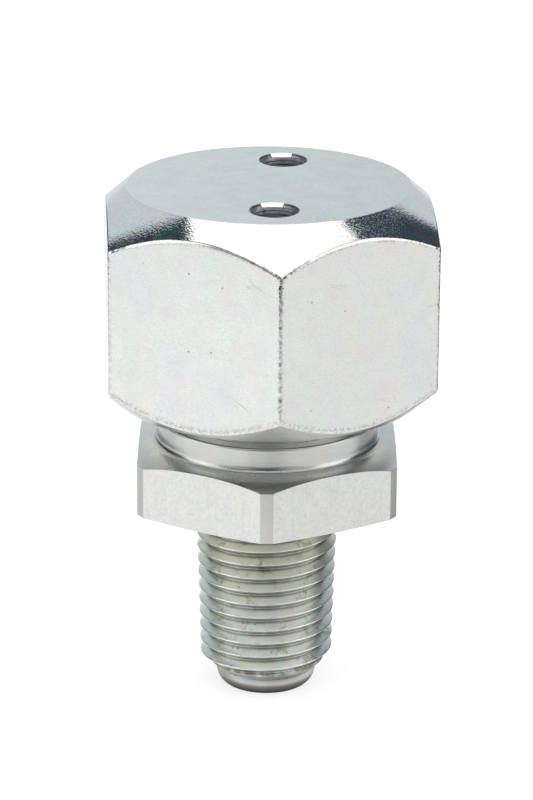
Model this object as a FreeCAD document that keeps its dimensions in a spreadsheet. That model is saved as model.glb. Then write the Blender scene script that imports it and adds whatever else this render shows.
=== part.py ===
import FreeCAD, Part
import Sketcher
import math
import os

# Vent cap: a turned stud with a taper thread, and a hexagon cap with two vent holes.
# Millimetres, +Z up. The origin is on the axis, at the bottom of the nose.
# The camera side is -Y.

doc = FreeCAD.newDocument("vent_cap")
sheet = doc.addObject("Spreadsheet::Sheet", "Sizes")

# Driving dimensions, each written once
driving = [
    ("nose_dia", 9.9, "plain nose below the thread"),
    ("nose_length", 2.0, "nose bottom to the start of the thread chamfer"),
    ("nose_round", 1.1, "rounding at the bottom of the nose"),
    ("lead_chamfer", 1.2, "height of the cone that leads into the thread"),
    ("thread_dia", 13.157, "taper thread, major diameter at its gauge plane"),
    ("thread_pitch", 1.337, "19 threads to 25.4 mm"),
    ("thread_taper", 16, "one in this much on the diameter"),
    ("gauge_length", 7.3, "thread start to gauge plane"),
    ("crest_trim", 0.12, "how far the crests are turned down"),
    ("thread_phase", -87.4, "angle where the thread groove starts, degrees"),
    ("thread_entry", 0.6, "the groove starts this far below the chamfer, in the air"),
    ("thread_runout", 0.9, "hexagon to the end of the groove"),
    ("shank_length", 18.85, "nose bottom to the underside of the hexagon"),
    ("hex_flats", 24, "stud hexagon across flats"),
    ("hex_corner_rise", 1.38, "turned hexagon corners over the flats, on the radius"),
    ("hex_height", 6.15, "underside to the foot of the collar"),
    ("hex_top_slope", 20, "cone on top of the hexagon, degrees"),
    ("hex_break", 0.22, "height of the corner break on the underside"),
    ("collar_step", 1.68, "polished collar inside the hexagon's flats, on the radius"),
    ("collar_height", 1.97, "foot of the collar to its top face"),
    ("collar_fillet", 0.5, "fillet at the foot of the collar"),
    ("collar_edge", 0.25, "chamfer on the collar's top edge"),
    ("neck_depth", 1.08, "undercut below the cap thread, under the crests"),
    ("neck_width", 3.2, "collar to the cap thread"),
    ("cap_thread_dia", 20, "thread between stud and cap"),
    ("spigot_play", 0.07, "cap thread crests under nominal, on the radius"),
    ("bore_play", 0.1, "cap bore over nominal, on the radius"),
    ("spigot_edge", 1.0, "chamfer on the rim of the stud"),
    ("nose_wall", 1.95, "wall between the nose and the air passage"),
    ("air_bore_edge", 0.3, "chamfer where the passage opens in the nose"),
    ("bowl_lip", 0.5, "rim that shows inside the gasket"),
    ("bowl_depth", 4, "wide end of the passage, under the filter"),
    ("cap_flats", 30, "cap hexagon across flats"),
    ("cap_height", 19.8, "cap, bottom to top"),
    ("cap_gap", 2.2, "collar to the bottom of the cap"),
    ("cap_turn", 3.8, "how far the cap stands turned, degrees"),
    ("crown_dia", 26.44, "flat round top of the cap"),
    ("crown_slope", 38.9, "top chamfer of the cap, degrees"),
    ("skirt_dia", 29.44, "ring where the lower chamfer ends"),
    ("skirt_slope", 42.4, "lower chamfer of the cap, degrees"),
    ("skirt_break", 0.42, "edge broken at 45 degrees below that ring"),
    ("roof_thickness", 6.2, "cap top to the chamber"),
    ("chamber_relief", 0.5, "air chamber under the roof, over the cap bore on the radius"),
    ("boss_dia", 11, "boss in the roof that holds the filter down"),
    ("boss_height", 1.4, "how far the boss stands out of the roof"),
    ("entry_chamfer", 0.6, "chamfer at the mouth of the cap"),
    ("vent_dia", 4, "vent hole"),
    ("vent_pitch", 16.9, "distance between the two vent holes"),
    ("vent_offset", 0.9, "the pair stands this far off the axis"),
    ("vent_turn", -2.8, "line through the vent holes against Y, degrees"),
    ("vent_edge", 0.25, "chamfer at the mouth of a vent hole"),
    ("ring_width", 1.75, "retaining ring, on the radius"),
    ("ring_thickness", 0.4, "retaining ring"),
    ("ring_play", 0.1, "retaining ring to filter disc, and to the chamber wall"),
    ("ring_gap", 40, "opening in the retaining ring, degrees"),
    ("filter_overlap", 0.35, "filter disc over the retaining ring, on the radius"),
    ("filter_thickness", 2.4, "sintered filter disc"),
    ("filter_edge", 0.3, "chamfer on the filter disc"),
    ("gasket_play", 0.25, "gasket to the retaining ring"),
    ("gasket_width", 1.5, "flat gasket under the filter, on the radius"),
    ("gasket_thickness", 0.6, "flat gasket"),
]

# Worked out from the driving dimensions: r_ is a radius, z_ a height
derived = [
    ("r_nose", "nose_dia / 2"),
    ("z_chamfer", "nose_length"),
    ("z_thread", "nose_length + lead_chamfer"),
    ("z_gauge", "z_thread + gauge_length"),
    ("z_hex", "shank_length"),
    ("r_lead", "thread_dia / 2 - crest_trim + (z_thread - z_gauge) / (2 * thread_taper)"),
    ("r_shank", "thread_dia / 2 - crest_trim + (z_hex - z_gauge) / (2 * thread_taper)"),
    ("r_hex_corner", "hex_flats / 2 + hex_corner_rise"),
    ("r_hex_break", "hex_flats / 2"),
    ("z_hex_break", "z_hex + hex_break"),
    ("r_collar", "hex_flats / 2 - collar_step"),
    ("z_foot", "z_hex + hex_height"),
    ("z_hex_corner", "z_foot - (r_hex_corner - r_collar) * tan(hex_top_slope)"),
    ("r_hex_clear", "r_hex_corner + hex_height"),
    ("r_collar_edge", "r_collar - collar_edge"),
    ("z_collar", "z_foot + collar_height"),
    ("z_collar_edge", "z_collar - collar_edge"),
    ("z_neck", "z_collar + neck_width"),
    ("r_spigot", "cap_thread_dia / 2 - spigot_play"),
    ("r_neck", "r_spigot - neck_depth"),
    ("r_rim", "r_spigot - spigot_edge"),
    ("z_skirt", "z_collar + cap_gap"),
    ("z_crown", "z_skirt + cap_height"),
    ("z_roof", "z_crown - roof_thickness"),
    ("z_boss", "z_roof - boss_height"),
    ("z_filter", "z_boss - filter_thickness"),
    ("z_rim", "z_filter - gasket_thickness"),
    ("z_rim_edge", "z_rim - spigot_edge"),
    ("r_air", "r_nose - nose_wall"),
    ("r_air_edge", "r_air + air_bore_edge"),
    ("z_air_edge", "air_bore_edge"),
    ("z_bowl", "z_rim - bowl_depth"),
    ("r_cap_clear", "cap_flats / 2 / cos(30) + crest_trim"),
    ("r_crown", "crown_dia / 2"),
    ("z_crown_clear", "z_crown - (r_cap_clear - r_crown) * tan(crown_slope)"),
    ("r_skirt", "skirt_dia / 2"),
    ("z_skirt_ring", "z_skirt + skirt_break"),
    ("r_skirt_break", "r_skirt - skirt_break"),
    ("z_skirt_clear", "z_skirt_ring + (r_cap_clear - r_skirt) * tan(skirt_slope)"),
    ("r_bore", "cap_thread_dia / 2 + bore_play"),
    ("r_entry", "r_bore + entry_chamfer"),
    ("z_entry", "z_skirt + entry_chamfer"),
    ("r_chamber", "r_bore + chamber_relief"),
    ("r_boss", "boss_dia / 2"),
    ("r_ring_outer", "r_chamber - ring_play"),
    ("r_ring_inner", "r_ring_outer - ring_width"),
    ("z_ring_top", "z_filter - ring_play"),
    ("z_ring", "z_ring_top - ring_thickness"),
    ("r_filter", "r_ring_inner + filter_overlap"),
    ("r_filter_edge", "r_filter - filter_edge"),
    ("z_filter_low_edge", "z_filter + filter_edge"),
    ("z_filter_top_edge", "z_boss - filter_edge"),
    ("r_gasket_outer", "r_ring_inner - gasket_play"),
    ("r_gasket_inner", "r_gasket_outer - gasket_width"),
    ("r_bowl", "r_gasket_inner - bowl_lip"),
    ("vent_lean", "vent_turn - cap_turn"),
    ("x_vent_front", "vent_offset * cos(cap_turn) + vent_pitch / 2 * sin(vent_lean)"),
    ("y_vent_front", "0 - vent_offset * sin(cap_turn) - vent_pitch / 2 * cos(vent_lean)"),
    ("x_vent_back", "vent_offset * cos(cap_turn) - vent_pitch / 2 * sin(vent_lean)"),
    ("y_vent_back", "0 - vent_offset * sin(cap_turn) + vent_pitch / 2 * cos(vent_lean)"),
]

for row, (name, value, note) in enumerate(driving, start=1):
    sheet.set(f"A{row}", note)
    sheet.set(f"B{row}", str(value))
    sheet.setAlias(f"B{row}", name)
for row, (name, formula) in enumerate(derived, start=len(driving) + 2):
    sheet.set(f"A{row}", name)
    sheet.set(f"B{row}", "=" + formula)
    sheet.setAlias(f"B{row}", name)
doc.recompute()


def size(name):
    return float(sheet.get(name))


def origin_feature(body, role):
    return next(o for o in body.Origin.OriginFeatures if o.Role == role)


def new_body(name):
    body = doc.addObject("PartDesign::Body", name)
    body.Label = name
    return body


def half_section(body, name, points):
    """A closed outline in the XZ plane. A point is (radius, height) by cell name; None is zero."""
    sketch = body.newObject("Sketcher::SketchObject", name)
    sketch.AttachmentSupport = [(origin_feature(body, "XZ_Plane"), "")]
    sketch.MapMode = "FlatFace"
    at = [(size(r) if r else 0.0, size(z) if z else 0.0) for r, z in points]
    count = len(points)
    for i in range(count):
        start = FreeCAD.Vector(at[i][0], at[i][1], 0)
        end = FreeCAD.Vector(at[(i + 1) % count][0], at[(i + 1) % count][1], 0)
        sketch.addGeometry(Part.LineSegment(start, end))
    for i in range(count):
        sketch.addConstraint(Sketcher.Constraint("Coincident", i, 2, (i + 1) % count, 1))
    for i, (r, z) in enumerate(points):
        for kind, cell, axis, value in (("DistanceX", r, -2, at[i][0]), ("DistanceY", z, -1, at[i][1])):
            if cell:
                row = sketch.addConstraint(Sketcher.Constraint(kind, -1, 1, i, 1, value))
                sketch.setExpression(f"Constraints[{row}]", f"Sizes.{cell}")
            else:
                sketch.addConstraint(Sketcher.Constraint("PointOnObject", i, 1, axis))
    doc.recompute()
    return sketch


def turn(body, name, points, cut=False, angle=None):
    """Revolves a half section about the axis, to add a turned form or to cut one."""
    sketch = half_section(body, name + "_section", points)
    feature = body.newObject("PartDesign::Groove" if cut else "PartDesign::Revolution", name)
    feature.Profile = sketch
    feature.ReferenceAxis = (sketch, ["V_Axis"])
    feature.Angle = 360
    if angle:
        feature.setExpression("Angle", angle)
    body.Tip = feature
    doc.recompute()
    return feature


def hexagon(body, name, flats, low, high):
    """A six-sided prism on the axis with a corner towards -Y."""
    prism = body.newObject("PartDesign::AdditivePrism", name)
    prism.AttachmentSupport = [(origin_feature(body, "XY_Plane"), "")]
    prism.MapMode = "FlatFace"
    quarter = FreeCAD.Rotation(FreeCAD.Vector(0, 0, 1), 90)
    prism.AttachmentOffset = FreeCAD.Placement(FreeCAD.Vector(0, 0, size(low)), quarter)
    prism.Polygon = 6
    prism.setExpression("AttachmentOffset.Base.z", f"Sizes.{low}")
    prism.setExpression("Circumradius", f"Sizes.{flats} / 2 / cos(30)")
    prism.setExpression("Height", f"Sizes.{high} - Sizes.{low}")
    body.Tip = prism
    doc.recompute()
    return prism


def round_edges(feature, radius, height):
    """Names of the full circular edges of that radius at that height."""
    names = []
    for i, edge in enumerate(feature.Shape.Edges, start=1):
        curve = edge.Curve
        if not isinstance(curve, Part.Circle):
            continue
        if abs(curve.Radius - radius) < 0.001 and abs(curve.Center.z - height) < 0.001:
            names.append(f"Edge{i}")
    return names


def dress_edges(body, kind, name, radius, height, expression):
    """Adds a Fillet (by Radius) or a Chamfer (by Size) to the round edges found there."""
    base = body.Tip
    feature = body.newObject("PartDesign::" + kind, name)
    feature.Base = (base, round_edges(base, radius, height))
    feature.setExpression("Radius" if kind == "Fillet" else "Size", expression)
    body.Tip = feature
    doc.recompute()
    return feature


# Stud blank: the spindle, its hexagon, then the air passage
stud = new_body("stud_blank")
turn(stud, "spindle", [
    (None, None),
    ("r_nose", None),
    ("r_nose", "z_chamfer"),
    ("r_lead", "z_thread"),
    ("r_shank", "z_hex"),
    ("r_collar", "z_hex"),
    ("r_collar", "z_collar_edge"),
    ("r_collar_edge", "z_collar"),
    ("r_neck", "z_collar"),
    ("r_neck", "z_neck"),
    ("r_spigot", "z_neck"),
    ("r_spigot", "z_rim_edge"),
    ("r_rim", "z_rim"),
    (None, "z_rim"),
])
hexagon(stud, "stud_hexagon", "hex_flats", "z_hex", "z_foot")
turn(stud, "hexagon_corners", [
    ("r_collar", "z_foot"),
    ("r_hex_corner", "z_hex_corner"),
    ("r_hex_corner", "z_hex_break"),
    ("r_hex_break", "z_hex"),
    ("r_hex_clear", "z_hex"),
    ("r_hex_clear", "z_foot"),
], cut=True)
turn(stud, "air_passage", [
    (None, None),
    ("r_air_edge", None),
    ("r_air", "z_air_edge"),
    ("r_air", "z_bowl"),
    ("r_bowl", "z_bowl"),
    ("r_bowl", "z_rim"),
    (None, "z_rim"),
], cut=True)
dress_edges(stud, "Fillet", "nose_rounding", size("r_nose"), 0, "Sizes.nose_round")
dress_edges(stud, "Fillet", "collar_foot", size("r_collar"), size("z_foot"), "Sizes.collar_fillet")


def taper_thread_groove():
    """The groove of the taper thread: a V of 55 degrees with a flat root, swept up a conical helix."""
    pitch = size("thread_pitch")
    flank = math.tan(math.radians(55 / 2))
    sharp_depth = pitch / (2 * flank)
    depth = sharp_depth * 2 / 3
    root_half = sharp_depth / 6 * flank
    overshoot = depth * 1.15
    low = size("z_chamfer") - size("thread_entry")
    high = size("z_hex") - size("thread_runout")
    lean = 1 / (2 * size("thread_taper"))
    root = size("thread_dia") / 2 + (low - size("z_gauge")) * lean - depth
    helix = Part.makeLongHelix(pitch, high - low, root, math.degrees(math.atan(lean)))
    helix.translate(FreeCAD.Vector(0, 0, low))
    mouth_half = root_half + overshoot * flank
    corners = [
        FreeCAD.Vector(root, 0, low - root_half),
        FreeCAD.Vector(root, 0, low + root_half),
        FreeCAD.Vector(root + overshoot, 0, low + mouth_half),
        FreeCAD.Vector(root + overshoot, 0, low - mouth_half),
    ]
    sweep = Part.BRepOffsetAPI.MakePipeShell(Part.Wire(helix.Edges))
    sweep.setFrenetMode(True)
    sweep.add(Part.makePolygon(corners + corners[:1]))
    sweep.build()
    sweep.makeSolid()
    return sweep.shape()


groove = doc.addObject("Part::Feature", "taper_thread_groove")
groove.Shape = taper_thread_groove()
about_z = FreeCAD.Rotation(FreeCAD.Vector(0, 0, 1), size("thread_phase"))
groove.Placement = FreeCAD.Placement(FreeCAD.Vector(0, 0, 0), about_z)
stud_body = doc.addObject("Part::Cut", "stud_body")
stud_body.Base = stud
stud_body.Tool = groove
stud_body.Label = "stud_body"
doc.recompute()

# Hexagon cap: outside, hollow, then the two vent holes drilled through the roof
cap = new_body("hex_cap")
hexagon(cap, "cap_hexagon", "cap_flats", "z_skirt", "z_crown")
turn(cap, "top_chamfer", [
    ("r_crown", "z_crown"),
    ("r_cap_clear", "z_crown_clear"),
    ("r_cap_clear", "z_crown"),
], cut=True)
turn(cap, "bottom_chamfer", [
    ("r_skirt_break", "z_skirt"),
    ("r_skirt", "z_skirt_ring"),
    ("r_cap_clear", "z_skirt_clear"),
    ("r_cap_clear", "z_skirt"),
], cut=True)
turn(cap, "hollow", [
    (None, "z_skirt"),
    ("r_entry", "z_skirt"),
    ("r_bore", "z_entry"),
    ("r_bore", "z_ring"),
    ("r_chamber", "z_ring"),
    ("r_chamber", "z_roof"),
    ("r_boss", "z_roof"),
    ("r_boss", "z_boss"),
    (None, "z_boss"),
], cut=True)


def drill_vents(body):
    """Two round holes through the roof, on a line that leans against Y and stands off the axis."""
    sketch = body.newObject("Sketcher::SketchObject", "vent_centres")
    sketch.AttachmentSupport = [(origin_feature(body, "XY_Plane"), "")]
    sketch.MapMode = "FlatFace"
    at_crown = FreeCAD.Vector(0, 0, size("z_crown"))
    sketch.AttachmentOffset = FreeCAD.Placement(at_crown, FreeCAD.Rotation())
    sketch.setExpression("AttachmentOffset.Base.z", "Sizes.z_crown")
    up = FreeCAD.Vector(0, 0, 1)
    for end in ("front", "back"):
        x, y = f"x_vent_{end}", f"y_vent_{end}"
        centre = FreeCAD.Vector(size(x), size(y), 0)
        circle = sketch.addGeometry(Part.Circle(centre, up, size("vent_dia") / 2))
        row = sketch.addConstraint(Sketcher.Constraint("Diameter", circle, size("vent_dia")))
        sketch.setExpression(f"Constraints[{row}]", "Sizes.vent_dia")
        for kind, cell in (("DistanceX", x), ("DistanceY", y)):
            row = sketch.addConstraint(Sketcher.Constraint(kind, -1, 1, circle, 3, size(cell)))
            sketch.setExpression(f"Constraints[{row}]", f"Sizes.{cell}")
    doc.recompute()
    pocket = body.newObject("PartDesign::Pocket", "vent_holes")
    pocket.Profile = sketch
    pocket.setExpression("Length", "Sizes.roof_thickness")
    body.Tip = pocket
    doc.recompute()


before_drilling = cap.Shape.Volume
drill_vents(cap)
dress_edges(cap, "Chamfer", "vent_mouths", size("vent_dia") / 2, size("z_crown"), "Sizes.vent_edge")
if not cap.Shape.Volume < before_drilling:
    raise RuntimeError("the vent holes cut nothing")
cap.setExpression("Placement.Rotation.Angle", "Sizes.cap_turn")

# Sintered filter disc, held down by the boss in the roof
filter_disc = new_body("filter_disc")
turn(filter_disc, "filter_form", [
    (None, "z_filter"),
    ("r_filter_edge", "z_filter"),
    ("r_filter", "z_filter_low_edge"),
    ("r_filter", "z_filter_top_edge"),
    ("r_filter_edge", "z_boss"),
    (None, "z_boss"),
])

# Flat gasket between the filter disc and the rim of the stud
gasket = new_body("filter_gasket")
turn(gasket, "gasket_form", [
    ("r_gasket_inner", "z_rim"),
    ("r_gasket_outer", "z_rim"),
    ("r_gasket_outer", "z_filter"),
    ("r_gasket_inner", "z_filter"),
])

# Split retaining ring that keeps the filter in the cap when the cap is taken off
ring = new_body("retaining_ring")
turn(ring, "ring_form", [
    ("r_ring_inner", "z_ring"),
    ("r_ring_outer", "z_ring"),
    ("r_ring_outer", "z_ring_top"),
    ("r_ring_inner", "z_ring_top"),
], angle="360 - Sizes.ring_gap")

doc.recompute()
pieces = [stud_body, cap, filter_disc, gasket, ring]

for item in doc.Objects:
    if "Invalid" in item.State or "Error" in item.State:
        raise RuntimeError(f"{item.Label} could not be worked out: {item.State}")
for piece in pieces:
    if piece.Shape.isNull() or not piece.Shape.isValid() or len(piece.Shape.Solids) != 1:
        raise RuntimeError(f"{piece.Label} is not one valid solid")
if not stud_body.Shape.Volume < stud.Shape.Volume - 1:
    raise RuntimeError("the thread groove cut nothing")

os.makedirs("parts", exist_ok=True)
for piece in pieces:
    piece.Shape.exportStep(f"parts/{piece.Label}.step")
    print(f"{piece.Label}: {piece.Shape.Volume:.1f} cubic mm")
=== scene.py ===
import math

import bmesh
import bpy
from mathutils import Matrix, Quaternion, Vector, noise


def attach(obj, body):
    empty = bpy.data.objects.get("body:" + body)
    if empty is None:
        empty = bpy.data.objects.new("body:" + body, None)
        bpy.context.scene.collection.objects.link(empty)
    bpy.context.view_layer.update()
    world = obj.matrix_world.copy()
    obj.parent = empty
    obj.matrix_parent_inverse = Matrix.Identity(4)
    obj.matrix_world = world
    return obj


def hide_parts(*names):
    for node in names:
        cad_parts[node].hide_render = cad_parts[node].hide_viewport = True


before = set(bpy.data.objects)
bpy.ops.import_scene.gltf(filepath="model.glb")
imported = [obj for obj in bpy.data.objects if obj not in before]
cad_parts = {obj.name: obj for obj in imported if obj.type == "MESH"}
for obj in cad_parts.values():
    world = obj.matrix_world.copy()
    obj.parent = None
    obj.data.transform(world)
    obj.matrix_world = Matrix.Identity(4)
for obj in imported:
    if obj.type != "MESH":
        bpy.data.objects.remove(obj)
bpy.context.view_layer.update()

# Vent cap: a turned stud with a taper thread, and a hexagon cap with two vent holes.
# Shapes are written in millimetres and scaled once, when a piece is finished.
mm = 0.001
mergeReach = 0.0008  # vertices nearer than this become one
planeReach = 1e-5  # a vertex nearer than this to a cutting plane is on it
supportReach = 0.04  # from a rounding to the support point beside it
domeSteps = 3


# outlines
def softened(corners, steps):
    # corners are (radius, height, rounding); a rounded corner becomes an arc with a support point at each end
    points = []
    for i, (r, z, size) in enumerate(corners):
        here = Vector((r, z))
        if size == 0 or i in (0, len(corners) - 1):
            points.append(here)
            continue
        ways = [Vector(corners[j][:2]) - here for j in (i - 1, i + 1)]
        start, end = (here + way.normalized() * size for way in ways)
        reach = size + supportReach
        before, after = ([here + way.normalized() * reach] if way.length > reach * 1.2 else [] for way in ways)
        places = [step / steps for step in range(steps + 1)]
        arc = [start * (1 - t) ** 2 + here * 2 * t * (1 - t) + end * t * t for t in places]
        points += before + arc + after
    return points


def threadOutline(thread):
    # one pitch, from the middle of a domed crest to the middle of the next; a nut's crests are inside its roots
    crest, root, pitch, dome = thread["crest"], thread["root"], thread["pitch"], thread["dome"]
    lean = math.radians(thread["flank"])
    outward = 1 if crest > root else -1
    lower = []
    for step in range(domeSteps + 1):
        turn = (math.pi / 2 - lean) * step / domeSteps
        lower.append((crest - outward * dome * (1 - math.cos(turn)), dome * math.sin(turn)))
    lower.append((root, pitch / 2 - thread["rootHalf"]))
    upper = [(r, pitch - z) for r, z in lower[::-1]]
    return softened([(r, z, thread["rootRound"] if r == root else 0) for r, z in lower + upper], 2)


# mesh tools
def everything(bm):
    return bm.verts[:] + bm.edges[:] + bm.faces[:]


def only(geometry, kind):
    return [g for g in geometry if isinstance(g, kind)]


def fromAxis(place):
    return math.hypot(place.x, place.y)


def spinOutline(bm, points, segments, startAngle, pitch=0.0, turns=1):
    made = [bm.verts.new((r * math.cos(startAngle), r * math.sin(startAngle), z)) for r, z in points]
    lines = [bm.edges.new(pair) for pair in zip(made, made[1:])]
    bmesh.ops.spin(bm, geom=made + lines, cent=(0, 0, 0), axis=(0, 0, 1), dvec=(0, 0, pitch / segments),
                   angle=math.tau, steps=segments, use_merge=pitch == 0, use_duplicate=False)
    # the other turns of a thread are copies of its first
    firstTurn = everything(bm)
    for turn in range(1, turns):
        copied = bmesh.ops.duplicate(bm, geom=firstTurn)["geom"]
        bmesh.ops.translate(bm, verts=only(copied, bmesh.types.BMVert), vec=(0, 0, pitch * turn))
    bmesh.ops.remove_doubles(bm, verts=bm.verts[:], dist=mergeReach)
    for face in bm.faces:
        face.smooth = True


def turned(corners, steps):
    bm = bmesh.new()
    spinOutline(bm, softened(corners, steps), stud["segments"], stud["startAngle"])
    return bm


def cutAt(bm, height, keepAbove):
    bmesh.ops.bisect_plane(bm, geom=everything(bm), dist=planeReach, plane_co=(0, 0, height),
                           plane_no=(0, 0, -1 if keepAbove else 1), clear_outer=True)


def threadSleeve(thread, lowest, radiusAt):
    # whole turns from the height lowest, shaped by radiusAt and cut to the thread's span
    bm = bmesh.new()
    points = [(r, z + lowest) for r, z in threadOutline(thread)]
    spinOutline(bm, points, stud["segments"], stud["startAngle"], thread["pitch"], thread["turns"])
    for v in bm.verts:
        r = fromAxis(v.co)
        factor = radiusAt(r, v.co.z) / r
        v.co.x *= factor
        v.co.y *= factor
    low, high = thread["span"]
    cutAt(bm, low, True)
    cutAt(bm, high, False)
    return bm


def openRing(bm, height):
    return [e for e in bm.edges if e.is_boundary and all(abs(v.co.z - height) <= 1e-3 for v in e.verts)]


def joinRings(bm, lower, upper, material):
    made = bmesh.ops.bridge_loops(bm, edges=openRing(bm, lower) + openRing(bm, upper))
    for face in made["faces"]:
        face.smooth = True
        face.material_index = material


def gather(bm, other, material=None):
    # adds one bmesh to another
    if material is not None:
        for face in other.faces:
            face.material_index = material
    carrier = bpy.data.meshes.new("carrier")
    other.to_mesh(carrier)
    other.free()
    bm.from_mesh(carrier)
    bpy.data.meshes.remove(carrier)


def cutHexagon(bm, apothem, cornerAngle, material):
    # six flats; each cut is closed with one flat face
    for side in range(6):
        angle = cornerAngle + math.radians(30 + 60 * side)
        normal = Vector((math.cos(angle), math.sin(angle), 0))
        cut = bmesh.ops.bisect_plane(bm, geom=everything(bm), dist=planeReach, plane_co=normal * apothem,
                                     plane_no=normal, clear_outer=True)
        rim = [e for e in only(cut["geom_cut"], bmesh.types.BMEdge) if e.is_boundary]
        bmesh.ops.edgeloop_fill(bm, edges=rim, mat_nr=material, use_smooth=False)


def bevelEdges(bm, edges, offset, segments, material):
    made = bmesh.ops.bevel(bm, geom=edges, offset=offset, offset_type="OFFSET", segments=segments,
                           profile=0.5, affect="EDGES", material=-1, clamp_overlap=True)
    strip = set(made["faces"])
    for face in strip:
        face.smooth = True
        face.material_index = material
        for edge in face.edges:
            if any(other not in strip for other in edge.link_faces):
                edge.smooth = False
    return strip


def finishPiece(bm, name, body, node, finishNames):
    print(name, "open edges", sum(not e.is_manifold for e in bm.edges))
    bmesh.ops.recalc_face_normals(bm, faces=bm.faces[:])
    bmesh.ops.scale(bm, vec=(mm, mm, mm), verts=bm.verts[:])
    mesh = bpy.data.meshes.new(name)
    bm.to_mesh(mesh)
    bm.free()
    piece = bpy.data.objects.new(name, mesh)
    bpy.context.scene.collection.objects.link(piece)
    for finishName in finishNames:
        mesh.materials.append(finishes[finishName])
    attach(piece, body)
    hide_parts(node)
    print(name, "made, faces", len(mesh.polygons))


# shader maths
class Wire:
    # one socket of a node tree, with the sums that the finishes use
    def __init__(self, tree, socket=None):
        self.tree = tree
        self.socket = socket

    def node(self, kind, settings=None, sockets=None, out=0):
        made = self.tree.nodes.new(kind)
        for name, value in (settings or {}).items():
            if name == "stops":
                ramp = made.color_ramp
                for i, (position, colour) in enumerate(value):
                    stop = ramp.elements[i] if i < 2 else ramp.elements.new(position)
                    stop.position = position
                    stop.color = (*colour, 1)
            else:
                setattr(made, name, value)
        for key, value in (sockets or {}).items():
            if isinstance(value, Wire):
                self.tree.links.new(value.socket, made.inputs[key])
            else:
                made.inputs[key].default_value = value
        return Wire(self.tree, made.outputs[out] if len(made.outputs) else None)

    def sum(self, operation, first, second=0.0):
        return self.node("ShaderNodeMath", {"operation": operation}, {0: first, 1: second})

    def __add__(self, other):
        return self.sum("ADD", self, other)

    def __radd__(self, other):
        return self.sum("ADD", other, self)

    def __sub__(self, other):
        return self.sum("SUBTRACT", self, other)

    def __rsub__(self, other):
        return self.sum("SUBTRACT", other, self)

    def __mul__(self, other):
        return self.sum("MULTIPLY", self, other)

    def __rmul__(self, other):
        return self.sum("MULTIPLY", other, self)

    def __truediv__(self, other):
        return self.sum("DIVIDE", self, other)

    def __pow__(self, other):
        return self.sum("POWER", self, other)

    def atMost(self, other):
        return self.sum("MINIMUM", self, other)

    def atLeast(self, other):
        return self.sum("MAXIMUM", self, other)

    def size(self):
        return self.sum("ABSOLUTE", self)

    def rise(self, low, high):
        # 0 below low, 1 above high, smooth between
        return self.node("ShaderNodeMapRange", {"interpolation_type": "SMOOTHSTEP"},
                         {0: self, 1: low, 2: high, 3: 0.0, 4: 1.0})

    def within(self, low, high, soft):
        # 1 from low to high, with a soft edge at each end
        return self.rise(low, low + soft) * (1 - self.rise(high - soft, high))

    def axis(self, letter):
        return self.node("ShaderNodeSeparateXYZ", None, {0: self}, letter)

    def vector(self, operation, *others, out="Vector"):
        sockets = dict(enumerate((self, *others)))
        return self.node("ShaderNodeVectorMath", {"operation": operation}, sockets, out)

    def stretched(self, x, y, z):
        return self.vector("MULTIPLY", (x, y, z))

    def grain(self, scale, detail=2.0, roughness=0.5, out=0):
        return self.node("ShaderNodeTexNoise", None,
                         {"Vector": self, "Scale": scale, "Detail": detail, "Roughness": roughness}, out)

    def cells(self, scale, out="Distance"):
        return self.node("ShaderNodeTexVoronoi", None, {"Vector": self, "Scale": scale}, out)

    def blend(self, amount, first, second):
        # colours
        first = (*first, 1) if isinstance(first, tuple) else first
        second = (*second, 1) if isinstance(second, tuple) else second
        return self.node("ShaderNodeMix", {"data_type": "RGBA"}, {0: amount, 6: first, 7: second}, 2)


def grey(level):
    return (level,) * 3


def newFinish(name):
    material = bpy.data.materials.new(name)
    material.use_nodes = True
    material.node_tree.nodes.clear()
    return material, Wire(material.node_tree)


def closeFinish(wire, sockets):
    shader = wire.node("ShaderNodeBsdfPrincipled", None, sockets)
    wire.node("ShaderNodeOutputMaterial", None, {0: shader})


def bumped(wire, relief, depth):
    # depth in millimetres
    return wire.node("ShaderNodeBump", None, {"Strength": 1.0, "Distance": depth * mm, "Height": relief})


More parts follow.
